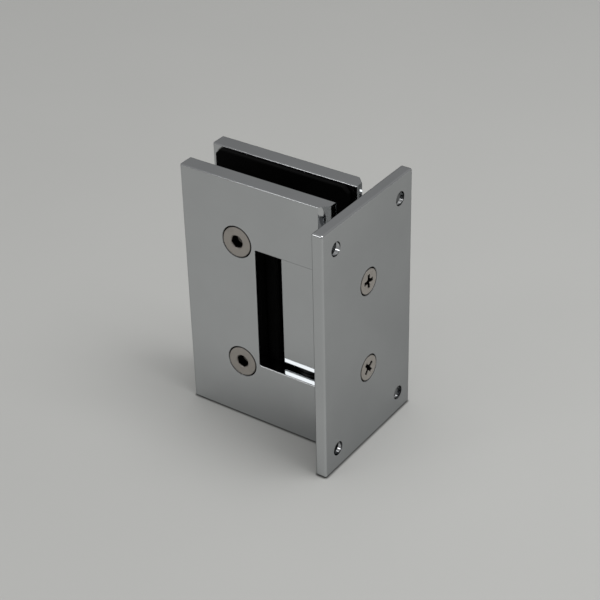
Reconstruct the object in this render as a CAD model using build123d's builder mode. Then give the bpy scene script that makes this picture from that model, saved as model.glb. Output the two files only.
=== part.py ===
"""Wall-to-glass hinge for a frameless shower door.

A wall plate carries a pivot block on two screws. Two leaves clamp the glass between black
gaskets and swing on a pin through the block, and sprung plungers in the block press on flats
of the pin, so that the door settles at closed and at a right angle to either side.

The origin is the middle of the wall plate's wall face. +X points into the wall, the glass
lies along -X, and +Z is up along the pin. Lengths are in millimetres.
"""

import os
from math import hypot, sqrt

from build123d import *

os.makedirs("parts", exist_ok=True)

# ---- Driving dimensions -------------------------------------------------------------------

# Wall plate
plate_width = 50.8
plate_thickness = 4.0
plate_corner_radius = 0.8
plate_edge_radius = 0.6
wall_hole_diameter = 4.9
wall_hole_sink_diameter = 9.9
wall_hole_side_edge = 7.2
wall_hole_end_edge = 7.7

# Glass and gaskets
glass_thickness = 8.0
gasket_thickness = 1.8
gasket_end_inset = 2.2
rear_gasket_top_inset = 0.6
front_gasket_top_inset = 1.6
gasket_corner_chamfer = 1.8
gasket_block_gap = 0.5
gasket_boss_gap = 1.0
gasket_post_gap = 0.3

# Leaves
leaf_length = 55.4
leaf_thickness = 5.75
ear_height = 23.0
leaf_swing_chamfer = 2.9
leaf_edge_radius = 0.4
cut_out_corner_radius = 0.6
swing_gap = 1.2

# Pin, bushes and block
pin_diameter = 9.0
pin_chamfer = 0.8
pin_flat_depth = 0.7
pin_end_inset = 1.0
pin_spot_depth = 0.5
bush_wall = 1.0
bush_flange_thickness = 1.2
bush_flange_inset = 0.4
axis_to_plate = 16.0
block_side_wall = 1.8
block_end_wall = 3.7
block_top_wall = 1.75
block_edge_radius = 0.5
block_swing_gap = 4.15
block_bore_relief = 0.2

# Bosses and posts on the rear leaf
boss_height = 12.0
boss_wall = 3.0
boss_corner_radius = 2.5
post_wall = 2.0
post_shortfall = 1.0
post_floor = 3.0
sleeve_wall = 1.8

# Plungers and springs
plunger_diameter = 8.0
plunger_length = 5.0
plunger_spacing = 13.0
plunger_edge_chamfer = 0.4
plunger_spigot_diameter = 4.2
plunger_spigot_length = 1.8
plunger_to_bush = 1.2
spring_diameter = 7.0
spring_wire = 1.0
spring_turns = 3.6

# Screws
clamp_screw_diameter = 6.0
clamp_screw_head_diameter = 10.6
clamp_screw_length = 16.0
clamp_screw_spacing = 46.0
clamp_screw_edge = 1.2
clamp_screw_key = 4.0
clamp_screw_key_mouth = 4.8
clamp_screw_key_depth = 2.6
block_screw_diameter = 5.0
block_screw_head_diameter = 8.8
block_screw_web = 3.3
block_screw_tip_wall = 2.4
cross_length = 5.0
cross_width = 1.3
cross_depth = 2.0
cross_taper = 12.0
grub_screw_diameter = 5.0
grub_screw_length = 5.5
grub_screw_key = 2.5
grub_screw_key_depth = 2.5
screw_rim = 0.45
screw_tip_chamfer = 0.6

# How far round each screw's recess came to rest, in degrees
clamp_screw_turn = {"top": 12, "bottom": 40}
block_screw_turn = {"top": 0, "bottom": 40}

# Clearances
running_clearance = 0.05
seat_clearance = 0.02
thread_clearance = 0.05
screw_hole_clearance = 0.25
end_play = 0.05

# ---- Derived sizes ------------------------------------------------------------------------

# Across the hinge, along Y
slot_width = glass_thickness + 2 * gasket_thickness
half_slot = slot_width / 2
half_width = half_slot + leaf_thickness

# The pin's fits
pin_radius = pin_diameter / 2
pin_flat_distance = pin_radius - pin_flat_depth
bush_bore_radius = pin_radius + running_clearance
bush_radius = bush_bore_radius + bush_wall
block_bore_radius = bush_radius + seat_clearance
block_relief_radius = pin_radius + block_bore_relief
block_thickness = 2 * (block_bore_radius + block_side_wall)
block_reach = block_relief_radius + block_end_wall
bush_flange_radius = block_thickness / 2 - bush_flange_inset

# Up the block, along Z, from the plungers outwards
plunger_bore_radius = plunger_diameter / 2 + running_clearance
plunger_z = plunger_spacing / 2
bush_inner_z = plunger_z + plunger_bore_radius + plunger_to_bush
block_thread_radius = block_screw_diameter / 2 + thread_clearance
block_screw_z = plunger_z + plunger_bore_radius + block_screw_web + block_thread_radius
block_top_z = block_screw_z + block_thread_radius + block_top_wall
flange_gap = bush_flange_thickness + end_play
cut_out_z = block_top_z + flange_gap + end_play
hinge_height = 2 * (cut_out_z + ear_height)

# Along the hinge, along X
axis_x = -(plate_thickness + axis_to_plate)
corner_swing = axis_to_plate - swing_gap
leaf_wall_x = axis_x + sqrt(corner_swing**2 - (half_width - leaf_swing_chamfer) ** 2)
leaf_glass_x = leaf_wall_x - leaf_length
block_glass_x = axis_x - block_reach
block_swing_x = axis_x - hypot(block_reach, block_thickness / 2)
cut_out_x = block_swing_x - block_swing_gap
clamp_screw_radius = clamp_screw_diameter / 2
clamp_screw_head_radius = clamp_screw_head_diameter / 2
clamp_sink_radius = clamp_screw_head_radius + screw_rim + seat_clearance
clamp_screw_x = cut_out_x - clamp_screw_edge - clamp_sink_radius
clamp_screw_z = clamp_screw_spacing / 2

# Bosses, posts and sleeves
boss_glass_x = axis_x - pin_radius - grub_screw_length
boss_wall_x = axis_x + pin_radius + boss_wall
boss_top_z = cut_out_z + boss_height
boss_bore_radius = pin_radius + seat_clearance
pin_top_z = boss_top_z - pin_end_inset
post_thread_radius = clamp_screw_radius + thread_clearance
post_radius = post_thread_radius + post_wall
post_tip_y = half_slot - gasket_thickness - glass_thickness + post_shortfall
sleeve_bore_radius = post_radius + running_clearance
sleeve_radius = sleeve_bore_radius + sleeve_wall
grub_screw_radius = grub_screw_diameter / 2
grub_screw_z = cut_out_z + boss_height / 2

# Gaskets
gasket_glass_x = leaf_glass_x + gasket_end_inset
gasket_length = leaf_length - 2 * gasket_end_inset
gasket_block_x = block_swing_x - gasket_block_gap
gasket_hole_radius = post_radius + gasket_post_gap
gasket_boss_height = 2 * (boss_top_z + gasket_boss_gap)

# Wall plate holes
wall_hole_y = plate_width / 2 - wall_hole_side_edge
wall_hole_z = hinge_height / 2 - wall_hole_end_edge
block_screw_radius = block_screw_diameter / 2
block_screw_head_radius = block_screw_head_diameter / 2
block_sink_radius = block_screw_head_radius + screw_rim + seat_clearance
block_screw_length = plate_thickness + axis_to_plate - block_bore_radius - block_screw_tip_wall
block_thread_depth = block_screw_length - plate_thickness + screw_tip_chamfer

# The plungers stand clear of the pin's full round, and travel from there to its flat
plunger_nose_x = axis_x + pin_radius + running_clearance
plunger_back_x = plunger_nose_x + plunger_length
spring_length = -plate_thickness - plunger_back_x - 2 * seat_clearance
spring_coil_radius = (spring_diameter - spring_wire) / 2

# The hinge has a top and a bottom piece of each of these, mirrored about its middle
ends = {"top": 1, "bottom": -1}


def turned_screw(radius, head_radius, length):
    """A countersunk screw along Z, with the face of its head at the origin."""
    with BuildPart() as screw:
        with BuildSketch(Plane.XZ):
            with BuildLine():
                Polyline(
                    (0, 0),
                    (head_radius, 0),
                    (head_radius, -screw_rim),
                    (radius, radius - head_radius - screw_rim),
                    (radius, screw_tip_chamfer - length),
                    (radius - screw_tip_chamfer, -length),
                    (0, -length),
                    close=True,
                )
            make_face()
        revolve(axis=Axis.Z)
    return screw.part


def draw_leaf():
    """The C-shaped outline of a leaf, open towards the wall plate."""
    with Locations((leaf_glass_x, 0)):
        Rectangle(leaf_length, hinge_height, align=(Align.MIN, Align.CENTER))
    with Locations((cut_out_x, 0)):
        Rectangle(leaf_length, 2 * cut_out_z, align=(Align.MIN, Align.CENTER), mode=Mode.SUBTRACT)
    fillet(vertices().filter_by_position(Axis.X, cut_out_x, cut_out_x), radius=cut_out_corner_radius)


def ease_leaf():
    """Cut off a leaf's wall-side corners for the swing, and ease its other outer edges."""
    corners = edges().filter_by(Axis.Z).group_by(Axis.X)[-1]
    chamfer(corners.sort_by(lambda edge: abs(edge.center().Y))[-2:], length=leaf_swing_chamfer)
    long_edges = edges().filter_by(Axis.X).group_by(Axis.Z)
    glass_end = edges().filter_by(Axis.Z).group_by(Axis.X)[0]
    fillet(long_edges[0] + long_edges[-1] + glass_end, radius=leaf_edge_radius)
    cut_out_edges = edges().filter_by(Axis.X).filter_by_position(Axis.Z, -cut_out_z, cut_out_z)
    fillet(cut_out_edges.sort_by(lambda edge: abs(edge.center().Y))[-2:], radius=leaf_edge_radius)


def draw_gasket(top_inset):
    """A gasket's outline, with cut corners, stepped back around the block and the bosses."""
    with Locations((gasket_glass_x, 0)):
        Rectangle(gasket_length, hinge_height - 2 * top_inset, align=(Align.MIN, Align.CENTER))
    chamfer(vertices(), length=gasket_corner_chamfer)
    with Locations((gasket_block_x, 0)):
        Rectangle(leaf_length, 2 * cut_out_z, align=(Align.MIN, Align.CENTER), mode=Mode.SUBTRACT)
    with Locations((boss_glass_x - gasket_boss_gap, 0)):
        Rectangle(leaf_length, gasket_boss_height, align=(Align.MIN, Align.CENTER), mode=Mode.SUBTRACT)
    with Locations((clamp_screw_x, clamp_screw_z), (clamp_screw_x, -clamp_screw_z)):
        Circle(gasket_hole_radius, mode=Mode.SUBTRACT)


# ---- Wall side ----------------------------------------------------------------------------

plate_glass_face = Plane(origin=(-plate_thickness, 0, 0), x_dir=(0, 1, 0), z_dir=(-1, 0, 0))
block_wall_face = Plane(origin=(-plate_thickness, 0, 0), x_dir=(0, 1, 0), z_dir=(1, 0, 0))

with BuildPart() as wall_plate:
    with BuildSketch(Plane.YZ):
        RectangleRounded(plate_width, hinge_height, plate_corner_radius)
    extrude(amount=-plate_thickness)
    fillet(faces().filter_by(Axis.X).edges(), radius=plate_edge_radius)
    with Locations(plate_glass_face):
        with GridLocations(2 * wall_hole_y, 2 * wall_hole_z, 2, 2):
            CounterSinkHole(
                wall_hole_diameter / 2, wall_hole_sink_diameter / 2, plate_thickness, counter_sink_angle=90
            )
    with Locations(Plane.YZ):
        with GridLocations(0, 2 * block_screw_z, 1, 2):
            CounterSinkHole(
                block_screw_radius + screw_hole_clearance,
                block_sink_radius,
                plate_thickness,
                counter_sink_angle=90,
            )
wall_plate.part.label = "wall_plate"
export_step(wall_plate.part, "parts/wall_plate.step")

with BuildPart() as pivot_block:
    with BuildSketch():
        with Locations((block_glass_x, 0)):
            Rectangle(block_reach + axis_to_plate, block_thickness, align=(Align.MIN, Align.CENTER))
    extrude(amount=block_top_z, both=True)
    fillet(edges() - faces().sort_by(Axis.X)[-1].edges(), radius=block_edge_radius)
    with Locations((axis_x, 0, block_top_z)):
        Hole(block_relief_radius)
        Hole(block_bore_radius, depth=block_top_z - bush_inner_z)
    with Locations(Plane(origin=(axis_x, 0, -block_top_z), z_dir=(0, 0, -1))):
        Hole(block_bore_radius, depth=block_top_z - bush_inner_z)
    with Locations(block_wall_face):
        with GridLocations(0, plunger_spacing, 1, 2):
            Hole(plunger_bore_radius, depth=axis_to_plate)
        with GridLocations(0, 2 * block_screw_z, 1, 2):
            Hole(block_thread_radius, depth=block_thread_depth)
pivot_block.part.label = "pivot_block"
export_step(pivot_block.part, "parts/pivot_block.step")

for end, side in ends.items():
    with BuildPart() as bush:
        with BuildSketch(Plane(origin=(axis_x, 0, side * bush_inner_z), z_dir=(0, 0, side))):
            Circle(bush_radius)
        extrude(amount=block_top_z - bush_inner_z)
        with BuildSketch(Plane(origin=(axis_x, 0, side * block_top_z), z_dir=(0, 0, side))):
            Circle(bush_flange_radius)
        extrude(amount=bush_flange_thickness)
        with Locations((axis_x, 0, side * block_top_z)):
            Hole(bush_bore_radius)
    bush.part.label = f"bush_{end}"
    export_step(bush.part, f"parts/bush_{end}.step")

for end, side in ends.items():
    with BuildPart() as plunger:
        with BuildSketch(Plane.YZ.offset(plunger_nose_x)):
            with Locations((0, side * plunger_z)):
                Circle(plunger_diameter / 2)
        extrude(amount=plunger_length)
        chamfer(faces().filter_by(Axis.X).edges(), length=plunger_edge_chamfer)
        with BuildSketch(Plane.YZ.offset(plunger_back_x)):
            with Locations((0, side * plunger_z)):
                Circle(plunger_spigot_diameter / 2)
        extrude(amount=plunger_spigot_length)
    plunger.part.label = f"plunger_{end}"
    export_step(plunger.part, f"parts/plunger_{end}.step")

for end, side in ends.items():
    spring_start = (plunger_back_x + seat_clearance, 0, side * plunger_z)
    with BuildPart() as plunger_spring:
        with BuildLine():
            coil = Helix(
                pitch=spring_length / spring_turns,
                height=spring_length,
                radius=spring_coil_radius,
                center=spring_start,
                direction=(1, 0, 0),
            )
        with BuildSketch(Plane(origin=coil @ 0, z_dir=coil % 0)):
            Circle(spring_wire / 2)
        sweep(is_frenet=True)
        split(bisect_by=Plane.YZ.offset(spring_start[0]), keep=Keep.TOP)
        split(bisect_by=Plane.YZ.offset(spring_start[0] + spring_length), keep=Keep.BOTTOM)
    plunger_spring.part.label = f"plunger_spring_{end}"
    export_step(plunger_spring.part, f"parts/plunger_spring_{end}.step")

with BuildPart() as block_screw:
    add(turned_screw(block_screw_radius, block_screw_head_radius, block_screw_length))
    for turn in (0, 90):
        with BuildSketch():
            Rectangle(cross_length, cross_width, rotation=turn)
        extrude(amount=-cross_depth, taper=cross_taper, mode=Mode.SUBTRACT)

for end, side in ends.items():
    with BuildPart() as placed_screw:
        with Locations(Plane(origin=(0, 0, side * block_screw_z), z_dir=(1, 0, 0))):
            add(block_screw.part, rotation=(0, 0, block_screw_turn[end]))
    placed_screw.part.label = f"block_screw_{end}"
    export_step(placed_screw.part, f"parts/block_screw_{end}.step")

# ---- Glass side ---------------------------------------------------------------------------

with BuildPart() as pivot_pin:
    with BuildSketch():
        with Locations((axis_x, 0)):
            Circle(pin_radius)
    extrude(amount=pin_top_z, both=True)
    chamfer(faces().filter_by(Axis.Z).edges(), length=pin_chamfer)
    with BuildSketch():
        with Locations((axis_x, 0)):
            Circle(pin_radius + pin_flat_depth)
            Rectangle(2 * pin_flat_distance, 2 * pin_flat_distance, mode=Mode.SUBTRACT)
    extrude(amount=plunger_z + plunger_bore_radius, both=True, mode=Mode.SUBTRACT)
    for side in ends.values():
        with Locations(Plane(origin=(axis_x - pin_radius, 0, side * grub_screw_z), z_dir=(-1, 0, 0))):
            Hole(grub_screw_radius + screw_hole_clearance, depth=pin_spot_depth)
pivot_pin.part.label = "pivot_pin"
export_step(pivot_pin.part, "parts/pivot_pin.step")

with BuildPart() as front_leaf:
    with BuildSketch(Plane.XZ.offset(half_width)):
        draw_leaf()
    extrude(amount=-leaf_thickness)
    ease_leaf()
    with Locations(Plane.XZ.offset(half_width)):
        with Locations((clamp_screw_x, 0)):
            with GridLocations(0, clamp_screw_spacing, 1, 2):
                CounterSinkHole(
                    clamp_screw_radius + screw_hole_clearance,
                    clamp_sink_radius,
                    leaf_thickness,
                    counter_sink_angle=90,
                )
front_leaf.part.label = "front_leaf"
export_step(front_leaf.part, "parts/front_leaf.step")

with BuildPart() as rear_leaf:
    with BuildSketch(Plane.XZ.offset(-half_slot)):
        draw_leaf()
    extrude(amount=-leaf_thickness)
    ease_leaf()
    for side in ends.values():
        with BuildSketch(Plane.XY.offset(side * cut_out_z)):
            with Locations((boss_glass_x, 0)):
                Rectangle(boss_wall_x - boss_glass_x, slot_width, align=(Align.MIN, Align.CENTER))
            fillet(vertices().group_by(Axis.Y)[0], radius=boss_corner_radius)
        extrude(amount=side * boss_height)
        with Locations(Plane(origin=(boss_glass_x, 0, side * grub_screw_z), z_dir=(-1, 0, 0))):
            Hole(grub_screw_radius + thread_clearance, depth=grub_screw_length + pin_radius)
    with BuildSketch(Plane.XZ.offset(-half_slot)):
        with Locations((clamp_screw_x, 0)):
            with GridLocations(0, clamp_screw_spacing, 1, 2):
                Circle(post_radius)
    extrude(amount=half_slot - post_tip_y)
    with Locations((axis_x, 0, boss_top_z)):
        Hole(boss_bore_radius)
    with Locations(Plane.XZ.offset(-post_tip_y)):
        with Locations((clamp_screw_x, 0)):
            with GridLocations(0, clamp_screw_spacing, 1, 2):
                Hole(post_thread_radius, depth=half_width - post_floor - post_tip_y)
rear_leaf.part.label = "rear_leaf"
export_step(rear_leaf.part, "parts/rear_leaf.step")

with BuildPart() as front_gasket:
    with BuildSketch(Plane.XZ.offset(half_slot)):
        draw_gasket(front_gasket_top_inset)
    extrude(amount=-gasket_thickness)
front_gasket.part.label = "front_gasket"
export_step(front_gasket.part, "parts/front_gasket.step")

with BuildPart() as rear_gasket:
    with BuildSketch(Plane.XZ.offset(-half_slot)):
        draw_gasket(rear_gasket_top_inset)
    extrude(amount=gasket_thickness)
rear_gasket.part.label = "rear_gasket"
export_step(rear_gasket.part, "parts/rear_gasket.step")

for end, side in ends.items():
    with BuildPart() as screw_sleeve:
        with BuildSketch(Plane.XZ):
            with Locations((clamp_screw_x, side * clamp_screw_z)):
                Circle(sleeve_radius)
                Circle(sleeve_bore_radius, mode=Mode.SUBTRACT)
        extrude(amount=glass_thickness / 2 - seat_clearance, both=True)
    screw_sleeve.part.label = f"screw_sleeve_{end}"
    export_step(screw_sleeve.part, f"parts/screw_sleeve_{end}.step")

with BuildPart() as clamp_screw:
    add(turned_screw(clamp_screw_radius, clamp_screw_head_radius, clamp_screw_length))
    with BuildSketch():
        RegularPolygon(clamp_screw_key / 2, 6, major_radius=False)
    extrude(amount=-clamp_screw_key_depth, mode=Mode.SUBTRACT)
    with BuildSketch():
        Circle(clamp_screw_key_mouth / 2)
    extrude(amount=-(clamp_screw_key_mouth - clamp_screw_key) / 2, taper=45, mode=Mode.SUBTRACT)

for end, side in ends.items():
    with BuildPart() as placed_screw:
        with Locations(Plane(origin=(clamp_screw_x, -half_width, side * clamp_screw_z), z_dir=(0, -1, 0))):
            add(clamp_screw.part, rotation=(0, 0, clamp_screw_turn[end]))
    placed_screw.part.label = f"clamp_screw_{end}"
    export_step(placed_screw.part, f"parts/clamp_screw_{end}.step")

for end, side in ends.items():
    with BuildPart() as grub_screw:
        with BuildSketch(Plane.YZ.offset(boss_glass_x)):
            with Locations((0, side * grub_screw_z)):
                Circle(grub_screw_radius)
        extrude(amount=grub_screw_length + pin_spot_depth - seat_clearance)
        chamfer(faces().filter_by(Axis.X).edges(), length=screw_tip_chamfer)
        with BuildSketch(Plane.YZ.offset(boss_glass_x)):
            with Locations((0, side * grub_screw_z)):
                RegularPolygon(grub_screw_key / 2, 6, major_radius=False)
        extrude(amount=grub_screw_key_depth, mode=Mode.SUBTRACT)
    grub_screw.part.label = f"grub_screw_{end}"
    export_step(grub_screw.part, f"parts/grub_screw_{end}.step")
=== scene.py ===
"""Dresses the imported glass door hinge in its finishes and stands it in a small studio.

The frame is in metres: the origin is the middle of the wall plate's wall face, +X points into
the wall, the glass lies along -X, and +Z is up along the pin.
"""

import math

import bmesh
import bpy
from bpy.props import FloatProperty, FloatVectorProperty, PointerProperty
from bpy.types import Operator, Panel, PropertyGroup
from mathutils import Matrix, Vector


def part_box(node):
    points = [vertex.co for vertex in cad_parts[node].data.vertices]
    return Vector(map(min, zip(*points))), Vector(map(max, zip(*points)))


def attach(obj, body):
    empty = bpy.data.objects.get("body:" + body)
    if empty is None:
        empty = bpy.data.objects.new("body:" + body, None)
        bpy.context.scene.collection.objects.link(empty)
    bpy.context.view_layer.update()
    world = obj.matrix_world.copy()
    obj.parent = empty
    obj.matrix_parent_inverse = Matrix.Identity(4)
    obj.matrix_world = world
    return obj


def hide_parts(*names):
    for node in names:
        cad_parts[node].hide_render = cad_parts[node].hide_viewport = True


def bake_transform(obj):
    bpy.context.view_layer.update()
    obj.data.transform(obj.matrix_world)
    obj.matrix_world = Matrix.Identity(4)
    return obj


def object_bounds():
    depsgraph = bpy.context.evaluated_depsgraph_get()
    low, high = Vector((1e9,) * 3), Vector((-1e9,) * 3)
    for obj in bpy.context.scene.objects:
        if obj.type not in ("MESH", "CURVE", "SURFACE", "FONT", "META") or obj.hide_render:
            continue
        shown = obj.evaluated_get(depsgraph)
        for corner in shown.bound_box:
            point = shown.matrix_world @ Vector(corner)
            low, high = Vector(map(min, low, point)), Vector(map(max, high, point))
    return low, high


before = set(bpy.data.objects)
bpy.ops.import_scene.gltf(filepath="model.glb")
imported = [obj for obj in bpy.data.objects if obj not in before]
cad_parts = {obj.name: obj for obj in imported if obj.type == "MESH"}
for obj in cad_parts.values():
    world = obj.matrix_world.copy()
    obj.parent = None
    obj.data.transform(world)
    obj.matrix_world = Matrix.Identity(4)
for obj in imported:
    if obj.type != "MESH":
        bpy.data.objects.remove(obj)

bl_info = {
    "name": "Glass Door Hinge",
    "version": (1, 0, 0),
    "blender": (4, 5, 0),
    "location": "View3D > Sidebar > Hinge",
    "description": "Finishes, fasteners, springs and studio for a wall-to-glass door hinge",
    "category": "Object",
}

MM = 0.001
CAD_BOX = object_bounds()
WALL_SIDE = "wall_side"
GLASS_SIDE = "glass_side"
ENDS = ("top", "bottom")

# Attributes: the place in a screw from its head's face, and the way along a spring's wire
SCREW_PLACE = "screw_place"
WIRE_PLACE = "wire_place"

# Points nearer than this are one point
WELD = 0.001 * MM


# ---- Frame ------------------------------------------------------------------------------------


def middle(node):
    """The centre of a CAD node's box."""
    low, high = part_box(node)
    return (low + high) / 2


def extent(node):
    """The size of a CAD node's box along X, Y and Z."""
    low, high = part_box(node)
    return high - low


# ---- Node trees -------------------------------------------------------------------------------


def add_node(tree, kind, values=None, **settings):
    """A new node with its settings, and with its inputs set or linked by name or number."""
    node = tree.nodes.new(kind)
    for setting, value in settings.items():
        setattr(node, setting, value)
    for name, value in (values or {}).items():
        socket = node.inputs[name]
        if isinstance(value, bpy.types.NodeSocket):
            tree.links.new(value, socket)
        else:
            socket.default_value = value
    return node


def math_node(tree, operation, first, second=0.0, third=0.0, clamped=False):
    """The result of one Math node."""
    node = add_node(tree, "ShaderNodeMath", {0: first, 1: second, 2: third}, operation=operation)
    node.use_clamp = clamped
    return node.outputs[0]


def add(tree, first, second):
    """The sum of two values."""
    return math_node(tree, "ADD", first, second)


def subtract(tree, first, second):
    """The first value less the second."""
    return math_node(tree, "SUBTRACT", first, second)


def multiply(tree, first, second):
    """The product of two values."""
    return math_node(tree, "MULTIPLY", first, second)


def divide(tree, first, second):
    """The first value over the second."""
    return math_node(tree, "DIVIDE", first, second)


def ramp(tree, value, low, high, result_low=0.0, result_high=1.0):
    """A value between low and high taken smoothly to a result between two others."""
    values = {0: value, 1: low, 2: high, 3: result_low, 4: result_high}
    return add_node(tree, "ShaderNodeMapRange", values, interpolation_type="SMOOTHSTEP").outputs[0]


def arrange(tree):
    """Stand the nodes in columns by how far each is from the end of the tree."""
    column = {node: 0 for node in tree.nodes}
    for _ in tree.nodes:
        for link in tree.links:
            column[link.from_node] = max(column[link.from_node], column[link.to_node] + 1)
    rows = {}
    for node in tree.nodes:
        rows[column[node]] = rows.get(column[node], 0) + 1
        node.location = (-240 * column[node], -260 * rows[column[node]])


# ---- Finishes ---------------------------------------------------------------------------------


def blank_material(name, metallic=0.0):
    """A material with only a Principled shader, and that shader."""
    material = bpy.data.materials.new(name)
    material.use_nodes = True
    tree = material.node_tree
    tree.nodes.clear()
    shader = add_node(tree, "ShaderNodeBsdfPrincipled", {"Metallic": metallic})
    add_node(tree, "ShaderNodeOutputMaterial", {"Surface": shader.outputs["BSDF"]})
    return material, tree, shader


def object_place(tree, stretch=(1.0, 1.0, 1.0), turn=(0.0, 0.0, 0.0), centre=(0.0, 0.0, 0.0)):
    """Object coordinates in metres about a centre, stretched and turned."""
    place = add_node(tree, "ShaderNodeTexCoord").outputs["Object"]
    values = {"Vector": place, "Location": -Vector(centre)}
    centred = add_node(tree, "ShaderNodeMapping", values).outputs[0]
    values = {"Vector": centred, "Scale": stretch, "Rotation": turn}
    return add_node(tree, "ShaderNodeMapping", values).outputs[0]


def noise(tree, place, size, detail=2.0, distortion=0.0):
    """Noise from 0 to 1 with features of about this size, in metres."""
    values = {"Vector": place, "Scale": 1.0 / size, "Detail": detail, "Distortion": distortion}
    return add_node(tree, "ShaderNodeTexNoise", values).outputs["Fac"]


def line_noise(tree, way, size, detail=1.0):
    """Noise along one measure, for turned rings and drawn lines of about this width."""
    values = {"W": way, "Scale": 1.0 / size, "Detail": detail}
    return add_node(tree, "ShaderNodeTexNoise", values, noise_dimensions="1D").outputs["Fac"]


def blend_colours(tree, share, first, second):
    """The first colour at share 0 and the second at share 1. Each is a colour or a socket."""
    node = add_node(tree, "ShaderNodeMix", data_type="RGBA")
    tree.links.new(share, node.inputs[0])
    for socket, colour in ((node.inputs[6], first), (node.inputs[7], second)):
        if isinstance(colour, bpy.types.NodeSocket):
            tree.links.new(colour, socket)
        else:
            socket.default_value = (*colour, 1.0)
    return node.outputs[2]


def bump(tree, height, depth):
    """A bump of this depth in metres."""
    return add_node(tree, "ShaderNodeBump", {"Height": height, "Distance": depth}).outputs["Normal"]


def edge_wear(tree, radius):
    """1 on the edges of a piece, and 0 further from them than a radius."""
    rounded = add_node(tree, "ShaderNodeBevel", {"Radius": radius}, samples=4).outputs[0]
    straight = add_node(tree, "ShaderNodeNewGeometry").outputs["Normal"]
    values = {0: rounded, 1: straight}
    alike = add_node(tree, "ShaderNodeVectorMath", values, operation="DOT_PRODUCT").outputs["Value"]
    return ramp(tree, alike, low=0.8, high=0.995, result_low=1.0, result_high=0.0)


def crevice_shade(tree, reach):
    """1 in crevices no wider than a reach, and 0 in the open, from ambient occlusion: the mask of painted
    shade.
    """
    occlusion = add_node(tree, "ShaderNodeAmbientOcclusion", {"Distance": reach}, samples=8)
    return ramp(tree, occlusion.outputs["AO"], low=0.65, high=0.99, result_low=1.0, result_high=0.0)


def shade(colour, factor):
    """A colour made darker or lighter."""
    return tuple(min(1.0, factor * channel) for channel in colour)


def roughened(tree, roughness, where, by):
    """A roughness that rises by an amount where a mask is 1."""
    return math_node(tree, "MULTIPLY_ADD", where, by, roughness, clamped=True)


def finish_node(tree, shader, colour, roughness, normal=None):
    """Join a material's colour, roughness and normal to its shader."""
    tree.links.new(colour, shader.inputs["Base Color"])
    tree.links.new(roughness, shader.inputs["Roughness"])
    if normal is not None:
        tree.links.new(normal, shader.inputs["Normal"])
    arrange(tree)


def chrome_plating(finishes):
    """Bright plating: a faint haze, wiping marks, hairlines, edges that handling has dulled and painted
    shade has darkened, and painted shade in its crevices.
    """
    material, tree, shader = blank_material("chrome_plating", metallic=1.0)
    place = object_place(tree)
    haze = noise(tree, place, size=22 * MM, detail=3.0)
    smudge = noise(tree, place, size=9 * MM, detail=5.0, distortion=1.2)
    wiped = object_place(tree, stretch=(1.0, 1.0, 0.02), turn=(0.0, 0.35, 0.2))
    hairlines = noise(tree, wiped, size=0.12 * MM, detail=1.0)
    wear = edge_wear(tree, radius=0.4 * MM)

    colour = tuple(finishes.chrome_colour)
    hazed = blend_colours(tree, ramp(tree, haze, low=0.3, high=0.7), shade(colour, 0.955), colour)
    # Handling wear and painted shade: edges darkened, which also dims the highlights along them
    rubbed = blend_colours(tree, wear, hazed, shade(colour, 0.8))
    # Painted shade: crevices and the countersinks' gaps darkened to the shade colour
    tone = blend_colours(tree, crevice_shade(tree, reach=0.8 * MM), rubbed, finishes.gap_shade_colour)

    clean = finishes.chrome_roughness
    smudged = ramp(tree, smudge, low=0.45, high=0.75, result_low=clean, result_high=2.0 * clean)
    lined = roughened(tree, smudged, where=ramp(tree, hairlines, low=0.62, high=0.8), by=0.03)
    worn = roughened(tree, lined, where=wear, by=0.12)
    shader.inputs["Specular Tint"].default_value = (*(finishes.chrome_rim_shade,) * 3, 1.0)
    finish_node(tree, shader, tone, worn, bump(tree, haze, depth=0.003 * MM))
    return material


def screw_steel(finishes, name, recess_radius, recess_depth):
    """Turned stainless steel: rings on the head, random stains, painted shade in the recess and in
    crevices, and an uneven satin.
    """
    material, tree, shader = blank_material(name, metallic=1.0)
    place = add_node(tree, "ShaderNodeAttribute", attribute_name=SCREW_PLACE).outputs["Vector"]
    parts = add_node(tree, "ShaderNodeSeparateXYZ", {0: place}).outputs
    flat = add_node(tree, "ShaderNodeCombineXYZ", {0: parts[0], 1: parts[1]}).outputs[0]
    radius = add_node(tree, "ShaderNodeVectorMath", {0: flat}, operation="LENGTH").outputs["Value"]
    depth = multiply(tree, parts[2], -1.0)
    rings = line_noise(tree, radius, size=0.11 * MM, detail=2.0)
    stain = noise(tree, object_place(tree), size=3.2 * MM, detail=4.0, distortion=0.6)

    # The painted shade in the recess starts just under the head's face and ends above the thread
    inside = ramp(tree, radius, recess_radius, 1.08 * recess_radius, result_low=1.0, result_high=0.0)
    under_face = ramp(tree, depth, 0.02 * recess_depth, 0.2 * recess_depth)
    low, high = 1.02 * recess_depth, 1.1 * recess_depth
    over_thread = ramp(tree, depth, low, high, result_low=1.0, result_high=0.0)
    shaded_recess = multiply(tree, inside, multiply(tree, under_face, over_thread))

    colour = tuple(finishes.screw_colour)
    ringed = blend_colours(tree, ramp(tree, rings, low=0.35, high=0.7), shade(colour, 0.93), colour)
    stained = blend_colours(tree, ramp(tree, stain, low=0.52, high=0.8), ringed, shade(colour, 0.86))
    # Painted shade: crevices round the head darkened to the shade colour
    gap_shaded = blend_colours(tree, crevice_shade(tree, reach=1.0 * MM), stained, finishes.gap_shade_colour)
    # Painted shade: the recess darkened almost to black
    tone = blend_colours(tree, shaded_recess, gap_shaded, finishes.recess_shade_colour)

    clean = finishes.screw_roughness
    satin = ramp(tree, stain, low=0.3, high=0.8, result_low=clean, result_high=1.25 * clean)
    ringed_satin = roughened(tree, satin, where=rings, by=0.1)
    rough = roughened(tree, ringed_satin, where=shaded_recess, by=0.35)
    finish_node(tree, shader, tone, rough, bump(tree, rings, depth=0.004 * MM))
    return material


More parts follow.
